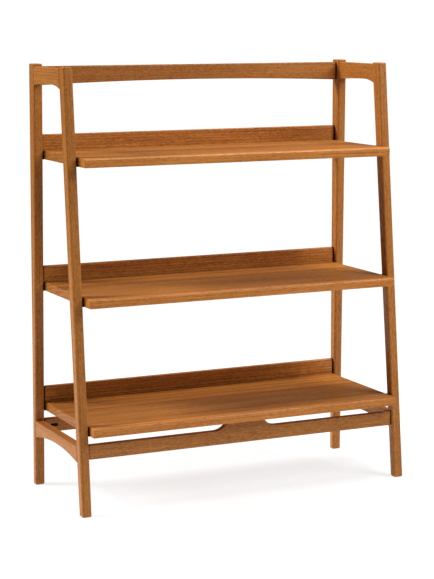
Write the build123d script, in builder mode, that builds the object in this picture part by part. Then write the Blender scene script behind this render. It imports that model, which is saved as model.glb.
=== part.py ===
"""Ladder shelf: three open shelves between two leaning side frames, joined by knock-down fittings.

Axes: X is the width, Y the depth with the wall side at +Y, Z is up.
Origin: the middle of the footprint, on the floor. All lengths are millimetres.
"""
import os

from build123d import *

os.makedirs("parts", exist_ok=True)

# Overall envelope
WIDTH = 965
DEPTH = 383
FRAME_T = 26.5                  # thickness of the posts and legs, along X
POST_H = 1163
LEG_H = 1160

# Side frame members. Every "depth" below is a distance forward of the wall.
POST_TOP_DEPTH = 37
POST_FOOT_DEPTH = 19.5
LEG_FRONT_FOOT = 377
LEG_FRONT_TOP = 263.5
LEG_BACK_FOOT = 353.5
LEG_BACK_TOP = 228.5
FRONT_ROUND = 5                 # rounding of the front long edges
BACK_ROUND = 3.5                # rounding of the back long edges
TOP_BEVEL, FOOT_BEVEL = 2, 2.5

SIDE_RAIL_T = 24.5              # thickness along X, flush with the outer face
SIDE_RAIL_END_ROUND = 2.5
EDGE_ROUND = 2
CORNER_ROUND = 4
UPPER_RAIL_TOP = 1156
UPPER_RAIL_REAR_UNDER = 1107.5
UPPER_RAIL_RISE = ((110, 1111), (178, 1112.5))    # two points (depth, z) on the underside
UPPER_RAIL_LEG_UNDER = 1103
LOWER_RAIL_TOP = 181
LOWER_RAIL_REAR_UNDER = 136
LOWER_RAIL_CROWN = (205, 154.5)                     # highest point (depth, z) of the underside
LOWER_RAIL_LEG_UNDER = 139

# Shelves: name, height of the underside, depth of the front edge
SHELVES = (("top", 904, 337.5), ("middle", 543, 366), ("bottom", 208, DEPTH))
SHELF_T = 24
SHELF_BACK = 2
NOSING_W = 22
NOSING_TOP_ROUND = 6
NOSING_UNDER_ROUND = 3
TONGUE_W, TONGUE_T = 8, 7
LIP_T = 16
LIP_H = 43
LIP_ROUND = 3
LIP_CORNER_ROUND = 6

# Cross members
SPACER_T = 3.5                  # black spacers between the side frames and the shelves and top rail
STRETCHER_SPACER_T = 2          # thinner spacers at the ends of the two stretchers
SPACER_INSET = 1.2              # the spacers stop this far inside the faces around them
CROSS_T = 18
TOP_RAIL_FRONT = 26
TOP_RAIL_UNDER_END = 1105
TOP_RAIL_UNDER_MID = 1114
FRONT_STRETCHER_FRONT = 353
REAR_STRETCHER_FRONT = 19
STRETCHER_UNDER = 145.5
STRETCHER_TOP = 184
PEDESTAL_HALF_TOP = 53          # raised centre of a stretcher, at the shelf it carries
PEDESTAL_HALF_FOOT = 92
PEDESTAL_SCOOP_MID = (66, 193)  # point (x, z) on the scooped side

# Knock-down fittings
DOWEL_R, DOWEL_BORE_R = 3, 3.2
SIDE_DOWEL_FRAME, SIDE_DOWEL_RAIL = 13, 18          # bite in the post or leg, bite in the rail
SIDE_DOWEL_Z = (147, 174, 1120, 1147)
CROSS_DOWEL_FRAME, CROSS_DOWEL_RAIL = 9, 15
TOP_RAIL_DOWEL_DZ, STRETCHER_DOWEL_DZ = 14, 12      # dowels above and below each bolt
BOLT_R, BOLT_BORE_R = 2.5, 2.8
BOLT_FRAME_BITE = 14
SLOT_LENGTH, SLOT_H, SLOT_DEPTH = 23, 9, 14.5
SLOT_FROM_END = 16
WASHER_R, WASHER_LENGTH = 4.2, 9
NUT_FLATS, NUT_T = 8, 4
BOLT_PAST_NUT = 4
BORE_EXTRA = 0.6                # how far a bore runs past the end of its dowel or bolt
CAM_R, CAM_BORE_R, CAM_H = 7.2, 7.5, 13
CAM_FROM_END = 34
CAM_AXIS = 9                    # height of the cam dowel above the underside of the shelf
CAM_DOWEL_R, CAM_DOWEL_BORE_R, CAM_DOWEL_HEAD_R = 2.5, 3, 2.9
CAM_DOWEL_BITE, CAM_DOWEL_HEAD_L = 11, 2.5
CAM_SLOT_W, CAM_SLOT_L, CAM_SLOT_H = 1.4, 8, 2
SCREW_X = (-396, -198, 0, 198, 396)
SCREW_R, SCREW_BORE_R, SCREW_HEAD_R, SCREW_HEAD_H = 2, 2.2, 4, 3.2
SCREW_HEAD_T, SCREW_RECESS = 2.2, 0.6
SCREW_BITE = 26
SCREW_DRIVE_R, SCREW_DRIVE_DEPTH = 1.4, 1.6

INNER = WIDTH / 2 - FRAME_T     # inner face of a side frame
SPAN = INNER - SPACER_T         # end of a shelf or of the top rail
STRETCHER_SPAN = INNER - STRETCHER_SPACER_T
WASHER_FROM_END = SLOT_FROM_END + SLOT_H / 2     # flat of a half-moon washer, centre of the slot's round end
BOLT_FROM_END = WASHER_FROM_END + NUT_T + BOLT_PAST_NUT
HANDS = ((-1, "left"), (1, "right"))


def wall_y(depth):
    """Y of a point this far forward of the wall."""
    return DEPTH / 2 - depth


def blend(foot, top, z, height):
    """Depth at height z on a straight edge that runs from the foot to the top."""
    return foot + (top - foot) * z / height


def post_front(z):
    return blend(POST_FOOT_DEPTH, POST_TOP_DEPTH, z, POST_H)


def leg_front(z):
    return blend(LEG_FRONT_FOOT, LEG_FRONT_TOP, z, LEG_H)


def leg_back(z):
    return blend(LEG_BACK_FOOT, LEG_BACK_TOP, z, LEG_H)


def rod_x(x0, x1, y, z, radius, mode=Mode.ADD):
    """Round bar or bore along X."""
    with Locations(Location(((x0 + x1) / 2, y, z), (0, 90, 0))):
        Cylinder(radius, abs(x1 - x0), mode=mode)


def rod_y(y0, y1, x, z, radius, mode=Mode.ADD):
    """Round bar or bore along Y."""
    with Locations(Location((x, (y0 + y1) / 2, z), (90, 0, 0))):
        Cylinder(radius, abs(y1 - y0), mode=mode)


def rod_z(z0, z1, x, y, radius, mode=Mode.ADD):
    """Round bar or bore along Z."""
    with Locations((x, y, (z0 + z1) / 2)):
        Cylinder(radius, abs(z1 - z0), mode=mode)


def save(piece, label):
    piece.part.label = label
    export_step(piece.part, f"parts/{label}.step")


# Where the shelves and cross members meet the posts and the legs: (y, z) of each fixing axis
post_cams = [(wall_y(post_front(z + SHELF_T / 2) / 2), z + CAM_AXIS) for _, z, _ in SHELVES]
leg_cams = [
    (wall_y((leg_front(z + SHELF_T / 2) + leg_back(z + SHELF_T / 2)) / 2), z + CAM_AXIS)
    for _, z, _ in SHELVES
]
stretcher_axis = (STRETCHER_UNDER + STRETCHER_TOP) / 2
top_rail_axis = (TOP_RAIL_UNDER_END + UPPER_RAIL_TOP) / 2
# Cross members: depth of the front face, bolt height, dowel spread, X of the end, side the slots open to
CROSS = {
    "rear_top_rail": (TOP_RAIL_FRONT, top_rail_axis, TOP_RAIL_DOWEL_DZ, SPAN, 1),
    "rear_stretcher": (REAR_STRETCHER_FRONT, stretcher_axis, STRETCHER_DOWEL_DZ, STRETCHER_SPAN, -1),
    "front_stretcher": (FRONT_STRETCHER_FRONT, stretcher_axis, STRETCHER_DOWEL_DZ, STRETCHER_SPAN, 1),
}


def cut_frame_bores(side, cams, members):
    """Bores in a post or leg for the shelf cams, the cross member bolts and their dowels."""
    mouth = side * INNER
    for y, z in cams:
        rod_x(mouth, mouth + side * (CAM_DOWEL_BITE + BORE_EXTRA), y, z, BOLT_BORE_R, Mode.SUBTRACT)
    for front, z, spread, _, _ in members:
        y = wall_y(front - CROSS_T / 2)
        rod_x(mouth, mouth + side * (BOLT_FRAME_BITE + BORE_EXTRA), y, z, BOLT_BORE_R, Mode.SUBTRACT)
        for dz in (-spread, spread):
            rod_x(mouth, mouth + side * (CROSS_DOWEL_FRAME + BORE_EXTRA), y, z + dz,
                  DOWEL_BORE_R, Mode.SUBTRACT)


def side_dowel_ends(z):
    """Y of both ends of the rear and the front dowel at height z, widest at the rear pair first."""
    rear = (wall_y(post_front(z) - SIDE_DOWEL_FRAME), wall_y(post_front(z) + SIDE_DOWEL_RAIL))
    front = (wall_y(leg_back(z) + SIDE_DOWEL_FRAME), wall_y(leg_back(z) - SIDE_DOWEL_RAIL))
    return rear, front


def cut_side_dowels(x, heights, ends):
    """Dowel bores along Y; ends picks the rear pair (0), the front pair (1) or both."""
    for z in heights:
        for end in ends:
            y0, y1 = side_dowel_ends(z)[end]
            slack = BORE_EXTRA if y0 > y1 else -BORE_EXTRA
            rod_y(y0 + slack, y1 - slack, x, z, DOWEL_BORE_R, Mode.SUBTRACT)


def round_side_rail(rail):
    """Round the upright corners of a side rail's rear end, then its top edges except the one at the leg."""
    rear_end = rail.faces().sort_by(Axis.Y)[-1]
    fillet(rear_end.edges().filter_by(Axis.X, reverse=True), SIDE_RAIL_END_ROUND)
    top_edges = rail.faces().sort_by(Axis.Z)[-1].edges()
    fillet(top_edges.sort_by(Axis.Y)[1:], EDGE_ROUND)


for side, hand in HANDS:
    outer_x = side * WIDTH / 2
    frame_x = min(outer_x, outer_x - side * FRAME_T)
    rail_x = min(outer_x, outer_x - side * SIDE_RAIL_T)
    dowel_x = outer_x - side * SIDE_RAIL_T / 2

    # Rear post: flat against the wall, its front face tapering toward the foot
    with BuildPart() as rear_post:
        with BuildSketch(Plane.YZ.offset(frame_x)):
            with BuildLine():
                Polyline(
                    (wall_y(0), 0), (wall_y(0), POST_H),
                    (wall_y(POST_TOP_DEPTH), POST_H), (wall_y(POST_FOOT_DEPTH), 0), close=True,
                )
            make_face()
        extrude(amount=FRAME_T)
        long_edges = rear_post.edges().filter_by(lambda e: e.length > POST_H / 2).sort_by(Axis.Y)
        fillet(long_edges[:2], FRONT_ROUND)
        long_edges = rear_post.edges().filter_by(lambda e: e.length > POST_H / 2).sort_by(Axis.Y)
        fillet(long_edges[-2:], BACK_ROUND)
        chamfer(rear_post.faces().sort_by(Axis.Z)[-1].edges(), TOP_BEVEL)
        chamfer(rear_post.faces().sort_by(Axis.Z)[0].edges(), FOOT_BEVEL)
        cut_frame_bores(side, post_cams, [CROSS["rear_top_rail"], CROSS["rear_stretcher"]])
        cut_side_dowels(dowel_x, SIDE_DOWEL_Z, (0,))
    save(rear_post, f"{hand}_rear_post")

    # Front leg: leans back toward the top, tapering toward the foot
    with BuildPart() as front_leg:
        with BuildSketch(Plane.YZ.offset(frame_x)):
            with BuildLine():
                Polyline(
                    (wall_y(LEG_BACK_FOOT), 0), (wall_y(LEG_BACK_TOP), LEG_H),
                    (wall_y(LEG_FRONT_TOP), LEG_H), (wall_y(LEG_FRONT_FOOT), 0), close=True,
                )
            make_face()
        extrude(amount=FRAME_T)
        long_edges = front_leg.edges().filter_by(lambda e: e.length > LEG_H / 2).sort_by(Axis.Y)
        fillet(long_edges[:2], FRONT_ROUND)
        long_edges = front_leg.edges().filter_by(lambda e: e.length > LEG_H / 2).sort_by(Axis.Y)
        fillet(long_edges[-2:], BACK_ROUND)
        chamfer(front_leg.faces().sort_by(Axis.Z)[-1].edges(), TOP_BEVEL)
        chamfer(front_leg.faces().sort_by(Axis.Z)[0].edges(), FOOT_BEVEL)
        cut_frame_bores(side, leg_cams, [CROSS["front_stretcher"]])
        cut_side_dowels(dowel_x, SIDE_DOWEL_Z, (1,))
    save(front_leg, f"{hand}_front_leg")

    # Upper side rail: level top, the underside bowed up and swept down into the leg
    with BuildPart() as upper_side_rail:
        with BuildSketch(Plane.YZ.offset(rail_x)):
            with BuildLine():
                rear_under = (wall_y(post_front(UPPER_RAIL_REAR_UNDER)), UPPER_RAIL_REAR_UNDER)
                rear_top = (wall_y(post_front(UPPER_RAIL_TOP)), UPPER_RAIL_TOP)
                leg_top = (wall_y(leg_back(UPPER_RAIL_TOP)), UPPER_RAIL_TOP)
                leg_under = (wall_y(leg_back(UPPER_RAIL_LEG_UNDER)), UPPER_RAIL_LEG_UNDER)
                (bow_depth, bow_z), (turn_depth, turn_z) = UPPER_RAIL_RISE
                bow = ThreePointArc(rear_under, (wall_y(bow_depth), bow_z), (wall_y(turn_depth), turn_z))
                TangentArc(bow @ 1, leg_under, tangent=bow % 1)
                Polyline(leg_under, leg_top, rear_top, rear_under)
            make_face()
        extrude(amount=SIDE_RAIL_T)
        round_side_rail(upper_side_rail)
        cut_side_dowels(dowel_x, SIDE_DOWEL_Z[2:], (0, 1))
    save(upper_side_rail, f"{hand}_upper_side_rail")

    # Lower side rail: level top, arched underside
    with BuildPart() as lower_side_rail:
        with BuildSketch(Plane.YZ.offset(rail_x)):
            with BuildLine():
                rear_under = (wall_y(post_front(LOWER_RAIL_REAR_UNDER)), LOWER_RAIL_REAR_UNDER)
                rear_top = (wall_y(post_front(LOWER_RAIL_TOP)), LOWER_RAIL_TOP)
                leg_top = (wall_y(leg_back(LOWER_RAIL_TOP)), LOWER_RAIL_TOP)
                leg_under = (wall_y(leg_back(LOWER_RAIL_LEG_UNDER)), LOWER_RAIL_LEG_UNDER)
                crown = (wall_y(LOWER_RAIL_CROWN[0]), LOWER_RAIL_CROWN[1])
                ThreePointArc(rear_under, crown, leg_under)
                Polyline(leg_under, leg_top, rear_top, rear_under)
            make_face()
        extrude(amount=SIDE_RAIL_T)
        round_side_rail(lower_side_rail)
        cut_side_dowels(dowel_x, SIDE_DOWEL_Z[:2], (0, 1))
    save(lower_side_rail, f"{hand}_lower_side_rail")


def cut_cross_fixings(front, z, spread, span, opening):
    """Bolt bores, dowel bores and bolt slots at both ends of a cross member."""
    mid_y = wall_y(front - CROSS_T / 2)
    face_y = mid_y + opening * CROSS_T / 2
    for side, _ in HANDS:
        end = side * span
        slot_x = side * (span - SLOT_FROM_END - SLOT_LENGTH / 2)
        rod_x(end, slot_x, mid_y, z, BOLT_BORE_R, Mode.SUBTRACT)
        for dz in (-spread, spread):
            rod_x(end, end - side * (CROSS_DOWEL_RAIL + BORE_EXTRA), mid_y, z + dz,
                  DOWEL_BORE_R, Mode.SUBTRACT)
        with BuildSketch(Plane.XZ.offset(-face_y)) as slot:
            with Locations((slot_x, z)):
                SlotOverall(SLOT_LENGTH, SLOT_H)
        extrude(slot.sketch, amount=opening * SLOT_DEPTH, mode=Mode.SUBTRACT)


def round_cross_member(member):
    """Round the four end corners of a cross member, then the outline of its front and back faces."""
    across = member.edges().filter_by(Axis.Y).sort_by(Axis.X)
    fillet(across[:2] + across[-2:], CORNER_ROUND)
    broad_faces = member.faces().sort_by(Axis.Y)
    fillet(broad_faces[0].edges() + broad_faces[-1].edges(), EDGE_ROUND)


# Rear top rail: level top, gently arched underside
with BuildPart() as rear_top_rail:
    with BuildSketch(Plane.XZ.offset(-wall_y(TOP_RAIL_FRONT))):
        with BuildLine():
            ThreePointArc((-SPAN, TOP_RAIL_UNDER_END), (0, TOP_RAIL_UNDER_MID), (SPAN, TOP_RAIL_UNDER_END))
            Polyline(
                (SPAN, TOP_RAIL_UNDER_END), (SPAN, UPPER_RAIL_TOP),
                (-SPAN, UPPER_RAIL_TOP), (-SPAN, TOP_RAIL_UNDER_END),
            )
        make_face()
    extrude(amount=-CROSS_T)
    round_cross_member(rear_top_rail)
    cut_cross_fixings(*CROSS["rear_top_rail"])
save(rear_top_rail, "rear_top_rail")

# Front and rear stretchers: low at the ends, scooped up to a raised centre under the bottom shelf
for label in ("front_stretcher", "rear_stretcher"):
    with BuildPart() as stretcher:
        with BuildSketch(Plane.XZ.offset(-wall_y(CROSS[label][0]))):
            with BuildLine():
                scoop_x, scoop_z = PEDESTAL_SCOOP_MID
                pedestal_z = SHELVES[-1][1]
                Polyline(
                    (-PEDESTAL_HALF_FOOT, STRETCHER_TOP),
                    (-STRETCHER_SPAN, STRETCHER_TOP), (-STRETCHER_SPAN, STRETCHER_UNDER),
                    (STRETCHER_SPAN, STRETCHER_UNDER), (STRETCHER_SPAN, STRETCHER_TOP),
                    (PEDESTAL_HALF_FOOT, STRETCHER_TOP),
                )
                ThreePointArc((PEDESTAL_HALF_FOOT, STRETCHER_TOP), (scoop_x, scoop_z),
                              (PEDESTAL_HALF_TOP, pedestal_z))
                Line((PEDESTAL_HALF_TOP, pedestal_z), (-PEDESTAL_HALF_TOP, pedestal_z))
                ThreePointArc((-PEDESTAL_HALF_TOP, pedestal_z), (-scoop_x, scoop_z),
                              (-PEDESTAL_HALF_FOOT, STRETCHER_TOP))
            make_face()
        extrude(amount=-CROSS_T)
        round_cross_member(stretcher)
        cut_cross_fixings(*CROSS[label])
    save(stretcher, label)

for number, (label, under_z, front) in enumerate(SHELVES):
    top_z = under_z + SHELF_T
    seam = front - NOSING_W
    lip_y = wall_y(SHELF_BACK + LIP_T / 2)
    corner_cams = (post_cams[number], leg_cams[number])

    # Shelf board, grooved for the nosing and bored for its cams, cam dowels and lip screws
    with BuildPart() as shelf_board:
        with Locations((0, wall_y((SHELF_BACK + seam) / 2), under_z + SHELF_T / 2)):
            Box(2 * SPAN, seam - SHELF_BACK, SHELF_T)
        end_edges = shelf_board.edges().filter_by(Axis.Y)
        fillet(end_edges, EDGE_ROUND)
        with Locations((0, wall_y(seam - TONGUE_W / 2), under_z + SHELF_T / 2)):
            Box(2 * SPAN, TONGUE_W, TONGUE_T, mode=Mode.SUBTRACT)
        for side, _ in HANDS:
            cam_x = side * (SPAN - CAM_FROM_END)
            for y, z in corner_cams:
                rod_x(side * SPAN, cam_x, y, z, CAM_DOWEL_BORE_R, Mode.SUBTRACT)
                rod_z(under_z, under_z + CAM_H + BORE_EXTRA, cam_x, y, CAM_BORE_R, Mode.SUBTRACT)
        for x in SCREW_X:
            rod_z(under_z, top_z, x, lip_y, SCREW_BORE_R, Mode.SUBTRACT)
            with Locations((x, lip_y, under_z + SCREW_HEAD_H / 2)):
                Cone(SCREW_HEAD_R, SCREW_BORE_R, SCREW_HEAD_H, mode=Mode.SUBTRACT)
    save(shelf_board, f"{label}_shelf_board")

    # Front nosing: rounded strip with a tongue along its back
    with BuildPart() as shelf_nosing:
        with BuildSketch(Plane.YZ.offset(-SPAN)):
            with Locations((wall_y(front - NOSING_W / 2), under_z + SHELF_T / 2)):
                Rectangle(NOSING_W, SHELF_T)
        extrude(amount=2 * SPAN)
        front_edges = shelf_nosing.faces().sort_by(Axis.Y)[0].edges().filter_by(Axis.X).sort_by(Axis.Z)
        fillet(front_edges[-1], NOSING_TOP_ROUND)
        front_edges = shelf_nosing.faces().sort_by(Axis.Y)[0].edges().filter_by(Axis.X).sort_by(Axis.Z)
        fillet(front_edges[0], NOSING_UNDER_ROUND)
        for end_face in (shelf_nosing.faces().sort_by(Axis.X)[0], shelf_nosing.faces().sort_by(Axis.X)[-1]):
            fillet(end_face.edges().sort_by(Axis.Y)[:-1], EDGE_ROUND)
        with Locations((0, wall_y(seam - TONGUE_W / 2), under_z + SHELF_T / 2)):
            Box(2 * SPAN, TONGUE_W, TONGUE_T)
    save(shelf_nosing, f"{label}_shelf_nosing")

    # Upstand along the back edge of the shelf
    with BuildPart() as shelf_lip:
        with Locations((0, lip_y, top_z + LIP_H / 2)):
            Box(2 * SPAN, LIP_T, LIP_H)
        fillet(shelf_lip.faces().sort_by(Axis.Z)[-1].edges().filter_by(Axis.Y), LIP_CORNER_ROUND)
        fillet(shelf_lip.faces().sort_by(Axis.Z)[-1].edges().filter_by(Axis.X), LIP_ROUND)
        for x in SCREW_X:
            rod_z(top_z, top_z + SCREW_BITE + BORE_EXTRA, x, lip_y, SCREW_BORE_R, Mode.SUBTRACT)
    save(shelf_lip, f"{label}_shelf_lip")

    # Black spacers at the four corners; the rear pair rise between the lip ends and the posts
    with BuildPart() as shelf_spacers:
        for side, _ in HANDS:
            spacer_x = min(side * SPAN, side * INNER)
            with BuildSketch(Plane.YZ.offset(spacer_x)) as post_spacer:
                with BuildLine():
                    Polyline(
                        (wall_y(SPACER_INSET), under_z),
                        (wall_y(SPACER_INSET), top_z + LIP_H - SPACER_INSET),
                        (wall_y(SHELF_BACK + LIP_T - SPACER_INSET), top_z + LIP_H - SPACER_INSET),
                        (wall_y(SHELF_BACK + LIP_T - SPACER_INSET), top_z),
                        (wall_y(post_front(top_z) - SPACER_INSET), top_z),
                        (wall_y(post_front(under_z) - SPACER_INSET), under_z), close=True,
                    )
                make_face()
            extrude(post_spacer.sketch, amount=SPACER_T)
            with BuildSketch(Plane.YZ.offset(spacer_x)) as leg_spacer:
                with BuildLine():
                    Polyline(
                        (wall_y(leg_back(under_z) + SPACER_INSET), under_z),
                        (wall_y(leg_back(top_z) + SPACER_INSET), top_z),
                        (wall_y(leg_front(top_z) - SPACER_INSET), top_z),
                        (wall_y(leg_front(under_z) - SPACER_INSET), under_z), close=True,
                    )
                make_face()
            extrude(leg_spacer.sketch, amount=SPACER_T)
            for y, z in corner_cams:
                rod_x(side * SPAN, side * INNER, y, z, CAM_DOWEL_BORE_R, Mode.SUBTRACT)
    save(shelf_spacers, f"{label}_shelf_spacers")

# Black spacers between the cross members and the side frames
with BuildPart() as rail_spacers:
    for label, (front, z, spread, span, _) in CROSS.items():
        mid_y = wall_y(front - CROSS_T / 2)
        member_top = UPPER_RAIL_TOP if label == "rear_top_rail" else STRETCHER_TOP
        for side, _ in HANDS:
            with Locations((side * (span + INNER) / 2, mid_y, z)):
                Box(INNER - span, CROSS_T - 2 * SPACER_INSET, 2 * (member_top - z - SPACER_INSET))
            rod_x(side * span, side * INNER, mid_y, z, BOLT_BORE_R, Mode.SUBTRACT)
            for dz in (-spread, spread):
                rod_x(side * span, side * INNER, mid_y, z + dz, DOWEL_BORE_R, Mode.SUBTRACT)
save(rail_spacers, "rail_spacers")

# Wooden dowels: side rails into posts and legs
with BuildPart() as side_rail_dowels:
    for side, _ in HANDS:
        for z in SIDE_DOWEL_Z:
            for y0, y1 in side_dowel_ends(z):
                rod_y(y0, y1, side * (WIDTH - SIDE_RAIL_T) / 2, z, DOWEL_R)
save(side_rail_dowels, "side_rail_dowels")

# Wooden dowels: cross members through their spacers into posts and legs
with BuildPart() as cross_member_dowels:
    for front, z, spread, span, _ in CROSS.values():
        for side, _ in HANDS:
            for dz in (-spread, spread):
                rod_x(side * (INNER + CROSS_DOWEL_FRAME), side * (span - CROSS_DOWEL_RAIL),
                      wall_y(front - CROSS_T / 2), z + dz, DOWEL_R)
save(cross_member_dowels, "cross_member_dowels")

# Hanger bolts of the cross members, with a half-moon washer and a hexagon nut in each slot
with BuildPart() as hanger_bolts:
    for front, z, _, span, _ in CROSS.values():
        for side, _ in HANDS:
            rod_x(side * (INNER + BOLT_FRAME_BITE), side * (span - BOLT_FROM_END),
                  wall_y(front - CROSS_T / 2), z, BOLT_R)
save(hanger_bolts, "hanger_bolts")

with BuildPart() as half_moon_washers:
    for front, z, _, span, _ in CROSS.values():
        flat_x = span - WASHER_FROM_END
        for side, _ in HANDS:
            with BuildSketch(Plane.XZ.offset(-wall_y(front - CROSS_T / 2))) as half_moon:
                with Locations((side * flat_x, z)):
                    Circle(WASHER_R)
                with Locations((side * (flat_x - WASHER_R), z)):
                    Rectangle(2 * WASHER_R, 2 * WASHER_R, mode=Mode.SUBTRACT)
            extrude(half_moon.sketch, amount=WASHER_LENGTH / 2, both=True)
            rod_x(side * (flat_x - WASHER_R), side * (flat_x + WASHER_R), wall_y(front - CROSS_T / 2), z,
                  BOLT_BORE_R, Mode.SUBTRACT)
save(half_moon_washers, "half_moon_washers")

with BuildPart() as hex_nuts:
    for front, z, _, span, _ in CROSS.values():
        for side, _ in HANDS:
            nut_face = side * (span - WASHER_FROM_END)
            with BuildSketch(Plane.YZ.offset(nut_face)) as nut:
                with Locations((wall_y(front - CROSS_T / 2), z)):
                    RegularPolygon(NUT_FLATS / 2, 6, major_radius=False)
                    Circle(BOLT_BORE_R, mode=Mode.SUBTRACT)
            extrude(nut.sketch, amount=-side * NUT_T)
save(hex_nuts, "hex_nuts")

# Cams and cam dowels that pull the shelf corners onto the side frames
with BuildPart() as shelf_cams:
    for number, (_, under_z, _) in enumerate(SHELVES):
        for side, _ in HANDS:
            cam_x = side * (SPAN - CAM_FROM_END)
            for y, z in (post_cams[number], leg_cams[number]):
                rod_z(under_z, under_z + CAM_H, cam_x, y, CAM_R)
                rod_x(cam_x - side * CAM_DOWEL_BORE_R, cam_x + side * CAM_R, y, z, CAM_DOWEL_BORE_R,
                      Mode.SUBTRACT)
                with Locations((cam_x, y, under_z + CAM_SLOT_H / 2)):
                    Box(CAM_SLOT_L, CAM_SLOT_W, CAM_SLOT_H, mode=Mode.SUBTRACT)
                    Box(CAM_SLOT_W, CAM_SLOT_L, CAM_SLOT_H, mode=Mode.SUBTRACT)
save(shelf_cams, "shelf_cams")

with BuildPart() as cam_dowels:
    for number in range(len(SHELVES)):
        for side, _ in HANDS:
            cam_x = side * (SPAN - CAM_FROM_END)
            for y, z in (post_cams[number], leg_cams[number]):
                rod_x(cam_x, side * (INNER + CAM_DOWEL_BITE), y, z, CAM_DOWEL_R)
                rod_x(cam_x, cam_x + side * CAM_DOWEL_HEAD_L, y, z, CAM_DOWEL_HEAD_R)
save(cam_dowels, "cam_dowels")

# Countersunk screws up through the boards into the lips
with BuildPart() as lip_screws:
    for _, under_z, _ in SHELVES:
        for x in SCREW_X:
            y = wall_y(SHELF_BACK + LIP_T / 2)
            rod_z(under_z + SCREW_RECESS, under_z + SHELF_T + SCREW_BITE, x, y, SCREW_R)
            with Locations((x, y, under_z + SCREW_RECESS + SCREW_HEAD_T / 2)):
                Cone(SCREW_HEAD_R - SCREW_RECESS, SCREW_R, SCREW_HEAD_T)
            rod_z(under_z, under_z + SCREW_RECESS + SCREW_DRIVE_DEPTH, x, y, SCREW_DRIVE_R, Mode.SUBTRACT)
save(lip_screws, "lip_screws")
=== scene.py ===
import math

import bpy
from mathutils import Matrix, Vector


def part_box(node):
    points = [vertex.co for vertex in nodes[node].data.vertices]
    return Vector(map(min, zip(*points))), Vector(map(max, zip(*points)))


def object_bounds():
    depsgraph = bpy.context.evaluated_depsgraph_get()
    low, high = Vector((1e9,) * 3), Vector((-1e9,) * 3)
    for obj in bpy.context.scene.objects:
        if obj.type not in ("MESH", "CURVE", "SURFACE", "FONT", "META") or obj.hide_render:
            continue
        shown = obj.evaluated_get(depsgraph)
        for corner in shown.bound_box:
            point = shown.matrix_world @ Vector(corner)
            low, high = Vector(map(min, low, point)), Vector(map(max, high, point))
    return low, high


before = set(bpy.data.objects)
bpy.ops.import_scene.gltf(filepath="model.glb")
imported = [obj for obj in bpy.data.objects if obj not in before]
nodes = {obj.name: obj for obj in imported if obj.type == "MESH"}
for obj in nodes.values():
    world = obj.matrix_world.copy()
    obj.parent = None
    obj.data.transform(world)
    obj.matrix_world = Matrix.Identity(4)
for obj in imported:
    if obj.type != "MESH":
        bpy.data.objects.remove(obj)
cad_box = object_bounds()
scene = bpy.context.scene
low, high = Vector(cad_box[0]), Vector(cad_box[1])
centre = (low + high) / 2


# ---------------------------------------------------------------- camera
CAMERA_AT = (-2.0835, -4.3597, 1.3084)
CAMERA_YAW = 25.44          # degrees to the right of +Y
CAMERA_PITCH = 6.42         # degrees down
SENSOR_WIDTH = 36
LENS = 110.0
LENS_SHIFT = -0.14          # share of the frame's width

camera_data = bpy.data.cameras.new("camera")
camera_data.sensor_width = SENSOR_WIDTH
camera_data.lens = LENS
camera_data.shift_y = LENS_SHIFT
camera_data.dof.use_dof = False
camera = bpy.data.objects.new("camera", camera_data)
scene.collection.objects.link(camera)
camera.location = CAMERA_AT
camera.rotation_euler = (math.radians(90 - CAMERA_PITCH), 0, math.radians(-CAMERA_YAW))
scene.camera = camera


# ---------------------------------------------------------------- materials
def new_material(name):
    material = bpy.data.materials.new(name)
    material.use_nodes = True
    tree = material.node_tree
    tree.nodes.clear()
    output = tree.nodes.new("ShaderNodeOutputMaterial")
    shader = tree.nodes.new("ShaderNodeBsdfPrincipled")
    tree.links.new(shader.outputs["BSDF"], output.inputs["Surface"])
    return material, tree, shader


def add_node(tree, kind, settings=None, inputs=None):
    """A new node with its settings, and its inputs set to values or linked to sockets."""
    node = tree.nodes.new(kind)
    for key, value in (settings or {}).items():
        setattr(node, key, value)
    for key, value in (inputs or {}).items():
        if isinstance(value, bpy.types.NodeSocket):
            tree.links.new(value, node.inputs[key])
        else:
            node.inputs[key].default_value = value
    return node


def maths(tree, operation, *values, clamp=False):
    return add_node(tree, "ShaderNodeMath", {"operation": operation, "use_clamp": clamp},
                    dict(enumerate(values))).outputs[0]


MIX_FACTOR, MIX_FIRST, MIX_SECOND = 0, 6, 7     # a Mix node's inputs when it mixes colours
MIX_RESULT = 2


def mix_colour(tree, factor, first, second, blend="MIX"):
    return add_node(tree, "ShaderNodeMix", {"data_type": "RGBA", "blend_type": blend},
                    {MIX_FACTOR: factor, MIX_FIRST: first, MIX_SECOND: second}).outputs[MIX_RESULT]


def ramp(tree, factor, stops):
    node = add_node(tree, "ShaderNodeValToRGB", {}, {"Fac": factor})
    elements = node.color_ramp.elements
    while len(elements) < len(stops):
        elements.new(0.5)
    for element, (position, colour) in zip(elements, stops):
        element.position = position
        element.color = (*colour, 1)
    return node.outputs["Color"]


def grey(level):
    return (level, level, level)


def object_place(tree):
    return add_node(tree, "ShaderNodeTexCoord").outputs["Object"]


def noise(tree, place, scale, detail, roughness):
    return add_node(tree, "ShaderNodeTexNoise", {}, {
        "Vector": place, "Scale": scale, "Detail": detail, "Roughness": roughness}).outputs["Fac"]


def add_bump(tree, shader, height, strength, distance):
    bump = add_node(tree, "ShaderNodeBump", {}, {
        "Strength": strength, "Distance": distance, "Height": height})
    tree.links.new(bump.outputs["Normal"], shader.inputs["Normal"])


LIGHT_WOOD = (0.485, 0.200, 0.048)
MID_WOOD = (0.365, 0.129, 0.020)
DARK_WOOD = (0.155, 0.034, 0.002)
PLAIN_DARKNESS = 0.36       # how dark the wood is before its figure is added
FRAME_RING_GAP = 0.0075     # metres between growth rings
BOARD_RING_GAP = 0.011
WAVE_GAP = 0.3142           # metres between the rings of a wave texture at scale 1
LEAST_WOOD_ROUGHNESS = 0.30

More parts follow.
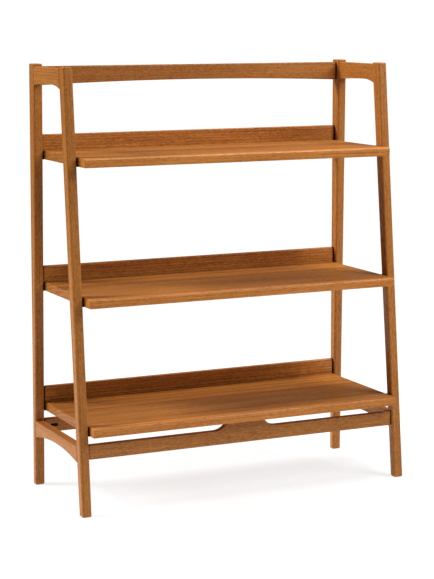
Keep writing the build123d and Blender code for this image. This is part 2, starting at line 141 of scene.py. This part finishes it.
# Each noise layer of the grain: squeeze along the grain, scale, detail, roughness,
# and how far each seed moves the pattern
GRAIN = {
    "broad": (0.05, 26.0, 3.0, 0.55, (1, 0.37, 0)),
    "streak": (0.018, 190.0, 4.0, 0.62, (2.3, 0, 1)),
    "fibre": (0.03, 900.0, 3.0, 0.60, (0.9, 1, 0)),
    "pore": (0.11, 560.0, 1.0, 0.50, (3.1, 0, 0)),
    "fleck": (0.32, 400.0, 2.0, 0.65, (1.9, 0, 1)),
    "blotch": (0.35, 9.0, 2.0, 0.50, (0, 1.1, 0.6)),
}


def wood(name, along, seed, ring_offset, tint=1.0, ring_gap=FRAME_RING_GAP, figure=1.0, fleck=1.0):
    """Oiled hardwood whose grain runs along the given direction: sides show streaks, ends show rings.

    The seed shifts the figure. The ring offset is the way from the heart of the log to the
    node's origin, across the grain.
    """
    material, tree, shader = new_material(name)
    along = Vector(along).normalized()
    across = Vector((0, 1, 0)) if abs(along.x) > 0.9 else Vector((1, 0, 0))
    place = object_place(tree)
    axes = [add_node(tree, "ShaderNodeVectorMath", {"operation": "DOT_PRODUCT"},
                     {0: place, 1: axis}).outputs["Value"]
            for axis in (along, across, along.cross(across).normalized())]
    local = add_node(tree, "ShaderNodeCombineXYZ", {}, dict(enumerate(axes))).outputs[0]

    def stretched(squeeze, offset):
        return add_node(tree, "ShaderNodeMapping", {}, {
            "Vector": local, "Location": offset, "Scale": (squeeze, 1, 1)}).outputs[0]

    def weighted(value, weight):
        return maths(tree, "MULTIPLY", value, weight)

    def total(*values):
        result = values[0]
        for value in values[1:]:
            result = maths(tree, "ADD", result, value)
        return result

    layer = {}
    for key, (squeeze, scale, detail, roughness, shift) in GRAIN.items():
        moved = stretched(squeeze, tuple(seed * part for part in shift))
        layer[key] = noise(tree, moved, scale, detail, roughness)
    pores = ramp(tree, layer["pore"], [(0.0, grey(0)), (0.58, grey(0)), (0.70, grey(1))])

    log = stretched(0.07, (seed * 1.7, *ring_offset))
    rings = add_node(tree, "ShaderNodeTexWave",
                     {"wave_type": "RINGS", "rings_direction": "X", "wave_profile": "SAW"},
                     {"Vector": log, "Scale": WAVE_GAP / ring_gap, "Distortion": 2.4,
                      "Detail": 3.0, "Detail Scale": 14.0, "Detail Roughness": 0.55}).outputs["Fac"]
    late_wood = ramp(tree, rings, [(0.0, grey(0.15)), (0.12, grey(0)), (0.62, grey(0.25)),
                                   (0.93, grey(0.9)), (1.0, grey(0.2))])

    strengths = {"broad": 0.5 * figure, "streak": 1.05 * figure, "fibre": 0.45, "blotch": 0.3,
                 "fleck": 1.1 * fleck}
    swings = [weighted(maths(tree, "SUBTRACT", layer[key], 0.5), strength)
              for key, strength in strengths.items()]
    darkness = maths(tree, "ADD", total(weighted(late_wood, 0.30 * figure), *swings),
                     PLAIN_DARKNESS, clamp=True)
    colour = ramp(tree, darkness, [
        (0.0, [c * tint * 1.06 for c in LIGHT_WOOD]), (0.42, [c * tint for c in MID_WOOD]),
        (0.95, [c * tint for c in DARK_WOOD])])
    pore_colour = (*[c * 0.55 for c in DARK_WOOD], 1)
    tree.links.new(mix_colour(tree, weighted(pores, 0.45), colour, pore_colour),
                   shader.inputs["Base Color"])

    roughening = total(weighted(layer["fibre"], 0.16), weighted(pores, 0.18), weighted(late_wood, 0.05))
    tree.links.new(maths(tree, "ADD", roughening, LEAST_WOOD_ROUGHNESS), shader.inputs["Roughness"])
    shader.inputs["IOR"].default_value = 1.5
    shader.inputs["Specular IOR Level"].default_value = 0.25
    height = total(weighted(layer["fibre"], 0.5), weighted(pores, -0.7), weighted(late_wood, 0.25))
    add_bump(tree, shader, height, 0.35, 0.0004)
    return material


# Near-black spacer material. Its black is painted shade: it stands for the deep shadow in the narrow gaps
# between the frame and the ends of the shelves and top rail.
def painted_shade_black(name):
    material, tree, shader = new_material(name)
    place = object_place(tree)
    grain = noise(tree, place, 1400.0, 2.0, 0.5)
    cloud = noise(tree, place, 60.0, 3.0, 0.6)
    colour = ramp(tree, cloud, [(0.3, (0.0025, 0.0022, 0.002)), (0.7, (0.005, 0.0045, 0.004))])
    tree.links.new(colour, shader.inputs["Base Color"])
    roughness = maths(tree, "ADD", maths(tree, "MULTIPLY", grain, 0.12), 0.6)
    tree.links.new(roughness, shader.inputs["Roughness"])
    shader.inputs["Specular IOR Level"].default_value = 0.12
    add_bump(tree, shader, grain, 0.3, 0.0002)
    return material


def metal(name, cloud_scale, tones, roughness_swing, smoothest):
    """Metal with a cloudy tone between the two given ones."""
    material, tree, shader = new_material(name)
    cloud = noise(tree, object_place(tree), cloud_scale, 4.0, 0.6)
    colour = ramp(tree, cloud, [(0.3, tones[0]), (0.7, tones[1])])
    tree.links.new(colour, shader.inputs["Base Color"])
    roughness = maths(tree, "ADD", maths(tree, "MULTIPLY", cloud, roughness_swing), smoothest)
    tree.links.new(roughness, shader.inputs["Roughness"])
    shader.inputs["Metallic"].default_value = 1.0
    add_bump(tree, shader, cloud, 0.2, 0.0001)
    return material, tree, shader, colour


def zinc_steel(name):
    """Bright plated steel with the fine crystals of the zinc."""
    material, tree, shader, tone = metal(name, 240.0, ((0.42, 0.43, 0.44), (0.62, 0.62, 0.61)), 0.2, 0.26)
    crystals = add_node(tree, "ShaderNodeTexVoronoi", {}, {
        "Vector": object_place(tree), "Scale": 700.0}).outputs["Color"]
    tree.links.new(mix_colour(tree, 0.12, tone, crystals, "SOFT_LIGHT"), shader.inputs["Base Color"])
    return material


def blackened_steel(name):
    return metal(name, 260.0, ((0.010, 0.009, 0.008), (0.024, 0.021, 0.019)), 0.25, 0.4)[0]


def give(node, material):
    """The CAD node keeps its shape and gets this material on every face."""
    mesh = nodes[node].data
    mesh.materials.clear()
    mesh.materials.append(material)


END_SLICE = 0.004           # vertices this close to an end, in metres, outline it


def slope(node):
    """Direction from the middle of a tapering member's foot to the middle of its top."""
    vertices = [v.co for v in nodes[node].data.vertices]
    node_low, node_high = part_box(node)
    foot = [v for v in vertices if v.z < node_low.z + END_SLICE]
    top = [v for v in vertices if v.z > node_high.z - END_SLICE]
    foot_middle, top_middle = [
        Vector([(min(v[axis] for v in outline) + max(v[axis] for v in outline)) / 2
                for axis in range(3)]) for outline in (foot, top)]
    return top_middle - foot_middle


def give_wood(node, along, seed, ring_offset, **look):
    give(node, wood(f"wood_{node}", along, seed, ring_offset, **look))


ALONG_X, ALONG_Y = (1, 0, 0), (0, 1, 0)
PLAIN_FRAME = {"figure": 0.6}
PLAIN_RAIL = {"figure": 0.6, "fleck": 0.6}

for number, hand in enumerate(("left", "right")):
    post, leg = f"{hand}_rear_post", f"{hand}_front_leg"
    give_wood(post, slope(post), 3.1 + number, (0.11, 0.05 - 0.1 * number), **PLAIN_FRAME)
    give_wood(leg, slope(leg), 5.3 + number, (0.09, 0.07 - 0.1 * number), **PLAIN_FRAME)
    give_wood(f"{hand}_upper_side_rail", ALONG_Y, 7.7 + number, (0.10, 0.04), tint=1.03, **PLAIN_RAIL)
    give_wood(f"{hand}_lower_side_rail", ALONG_Y, 9.2 + number, (0.08, 0.06), tint=1.02, **PLAIN_RAIL)
for number, member in enumerate(("rear_top_rail", "front_stretcher", "rear_stretcher")):
    give_wood(member, ALONG_X, 11.4 + number, (0.12, 0.03 + 0.02 * number), tint=0.93, figure=0.5)
for number, shelf in enumerate(("top", "middle", "bottom")):
    give_wood(f"{shelf}_shelf_board", ALONG_X, 15.6 + number, (0.05, 0.30 - 0.05 * number),
              tint=0.94, ring_gap=BOARD_RING_GAP, figure=1.25, fleck=0.5)
    # The nosings' lighter tint is painted sheen: it makes each shelf's front edge lighter than its top.
    give_wood(f"{shelf}_shelf_nosing", ALONG_X, 19.3 + number, (0.07, 0.10),
              tint=1.26, figure=0.7, fleck=0.6)
    give_wood(f"{shelf}_shelf_lip", ALONG_X, 23.9 + number, (0.03, 0.09 - 0.02 * number),
              tint=1.18, figure=1.1)
    # The spacers' near-black here and at the rail is painted shade for the gaps at their ends.
    give(f"{shelf}_shelf_spacers", painted_shade_black(f"black_{shelf}_spacers"))
give("rail_spacers", painted_shade_black("black_rail_spacers"))
give("side_rail_dowels", wood("wood_side_dowels", ALONG_Y, 31.0, (0.02, 0.02), tint=1.4))
give("cross_member_dowels", wood("wood_cross_dowels", ALONG_X, 32.0, (0.02, 0.02), tint=1.4))
dark_steel = blackened_steel("blackened_steel")
for fitting in ("hanger_bolts", "half_moon_washers", "hex_nuts"):
    give(fitting, dark_steel)
steel = zinc_steel("zinc_steel")
for fitting in ("shelf_cams", "cam_dowels", "lip_screws"):
    give(fitting, steel)


# ---------------------------------------------------------------- floor, world and lights
FLOOR_HALF = 3.2
FLOOR_GAP = 0.0005          # the floor lies this far below the feet
FLOOR_TONES = (0.21, 0.23)
FLOOR_GLOW = 0.80           # the floor's own light, which keeps the shadow on it very faint
WORLD_AS_SEEN = 1.05        # brightness of the world to the camera
WORLD_AS_LIGHT = 0.13       # and its brightness as a light
SUN_PLACE = Vector((-0.9, 0.42, 0.785))     # seen from the middle of the object
SUN_STRENGTH = 3.9
SUN_SPREAD = 22             # degrees
WHITE = (1, 1, 1, 1)

# Each softbox: its place, the length of its side in metres, and its power in watts
SOFTBOXES = {
    "soft_overhead": ((1.2, -0.6, 3.4), 1.1, 66),
    "fill_right_front": ((2.4, -2.6, 2.9), 1.6, 96),
}


def floor_plane():
    half = FLOOR_HALF
    mesh = bpy.data.meshes.new("floor")
    mesh.from_pydata([(-half, -half, 0), (half, -half, 0), (half, half, 0), (-half, half, 0)], [],
                     [(0, 1, 2, 3)])
    floor = bpy.data.objects.new("floor", mesh)
    scene.collection.objects.link(floor)
    floor.location.z = low.z - FLOOR_GAP
    material, tree, shader = new_material("pale_floor")
    cloud = noise(tree, object_place(tree), 3.0, 2.0, 0.5)
    colour = ramp(tree, cloud, [(0.3, grey(FLOOR_TONES[0])), (0.7, grey(FLOOR_TONES[1]))])
    tree.links.new(colour, shader.inputs["Base Color"])
    shader.inputs["Roughness"].default_value = 0.9
    shader.inputs["Specular IOR Level"].default_value = 0.1
    shader.inputs["Emission Color"].default_value = WHITE
    shader.inputs["Emission Strength"].default_value = FLOOR_GLOW
    mesh.materials.append(material)


def studio_world():
    """White where the camera looks past the object. The light it gives is even and dimmer."""
    world = bpy.data.worlds.new("studio")
    scene.world = world
    world.use_nodes = True
    tree = world.node_tree
    tree.nodes.clear()
    output = tree.nodes.new("ShaderNodeOutputWorld")
    seen = add_node(tree, "ShaderNodeBackground", {}, {"Color": WHITE, "Strength": WORLD_AS_SEEN})
    lit = add_node(tree, "ShaderNodeBackground", {}, {"Color": WHITE, "Strength": WORLD_AS_LIGHT})
    path = add_node(tree, "ShaderNodeLightPath")
    mix = add_node(tree, "ShaderNodeMixShader", {}, {
        0: path.outputs["Is Camera Ray"], 1: lit.outputs[0], 2: seen.outputs[0]})
    tree.links.new(mix.outputs[0], output.inputs["Surface"])


def add_light(name, kind, place, strength):
    """A light at the given place, turned toward the middle of the object."""
    data = bpy.data.lights.new(name, kind)
    data.energy = strength
    light = bpy.data.objects.new(name, data)
    scene.collection.objects.link(light)
    light.location = place
    light.rotation_euler = (centre - Vector(place)).to_track_quat("-Z", "Y").to_euler()
    return data


floor_plane()
studio_world()
sun = add_light("key_left_rear", "SUN", centre + SUN_PLACE, SUN_STRENGTH)
sun.angle = math.radians(SUN_SPREAD)
for name, (place, side, watts) in SOFTBOXES.items():
    softbox = add_light(name, "AREA", place, watts)
    softbox.size = side

scene.view_settings.view_transform = "Standard"
scene.view_settings.look = "None"
